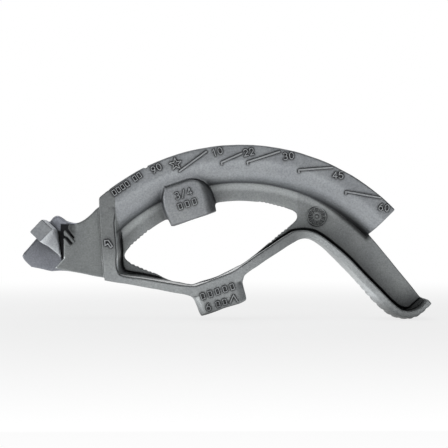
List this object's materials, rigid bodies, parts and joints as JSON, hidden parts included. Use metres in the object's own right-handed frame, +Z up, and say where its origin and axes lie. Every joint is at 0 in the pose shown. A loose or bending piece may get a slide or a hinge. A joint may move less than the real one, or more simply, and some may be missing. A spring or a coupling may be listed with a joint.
{
  "type": "conduit bender head",
  "caption": "Hand bender head for 3/4 thin-wall conduit: grooved arc shoe with angle lines, hook with grip ribs, threaded handle socket with lower collar, and a curled foot pedal.",
  "frame": {"origin": "middle of the overall box's bottom face, on the ground under the head", "axes": "+Z up with the arc on top, +X from the hook towards the foot pedal, -Y is the marked face"},
  "size_m": [0.2739, 0.039, 0.1148],
  "materials": {
    "cast_shoe": "satin as-cast, fine grain",
    "cast_web": "matt as-cast, fine grain",
    "cast_flange": "satin as-cast, brighter on worn edges",
    "cast_hook": "smooth back plate, coarse grain on the saddle",
    "raised_mark": "as-cast raised lettering and lines"
  },
  "bodies": {
    "root": {"angle_line_10": "raised_mark", "angle_line_22": "raised_mark", "angle_line_30": "raised_mark", "angle_line_45": "raised_mark", "angle_line_60": "raised_mark", "front_post": "cast_flange", "front_web": "cast_web", "grip_rib_1": "cast_hook", "grip_rib_2": "cast_hook", "handle_collar": "cast_flange", "handle_socket": "cast_flange", "hook_back_plate": "cast_hook", "hook_saddle": "cast_hook", "hook_trough": "cast_hook", "lower_rail": "cast_flange", "pedal_plate": "cast_flange", "pedal_toe": "cast_flange", "pedal_web": "cast_web", "rail_web": "cast_web", "rear_web": "cast_web", "shoe_channel": "cast_shoe", "spoke_flange": "cast_flange", "spoke_web": "cast_web", "star_mark": "raised_mark", "start_arrow": "raised_mark", "take_up_arrow": "raised_mark"}
  },
  "joints": []
}
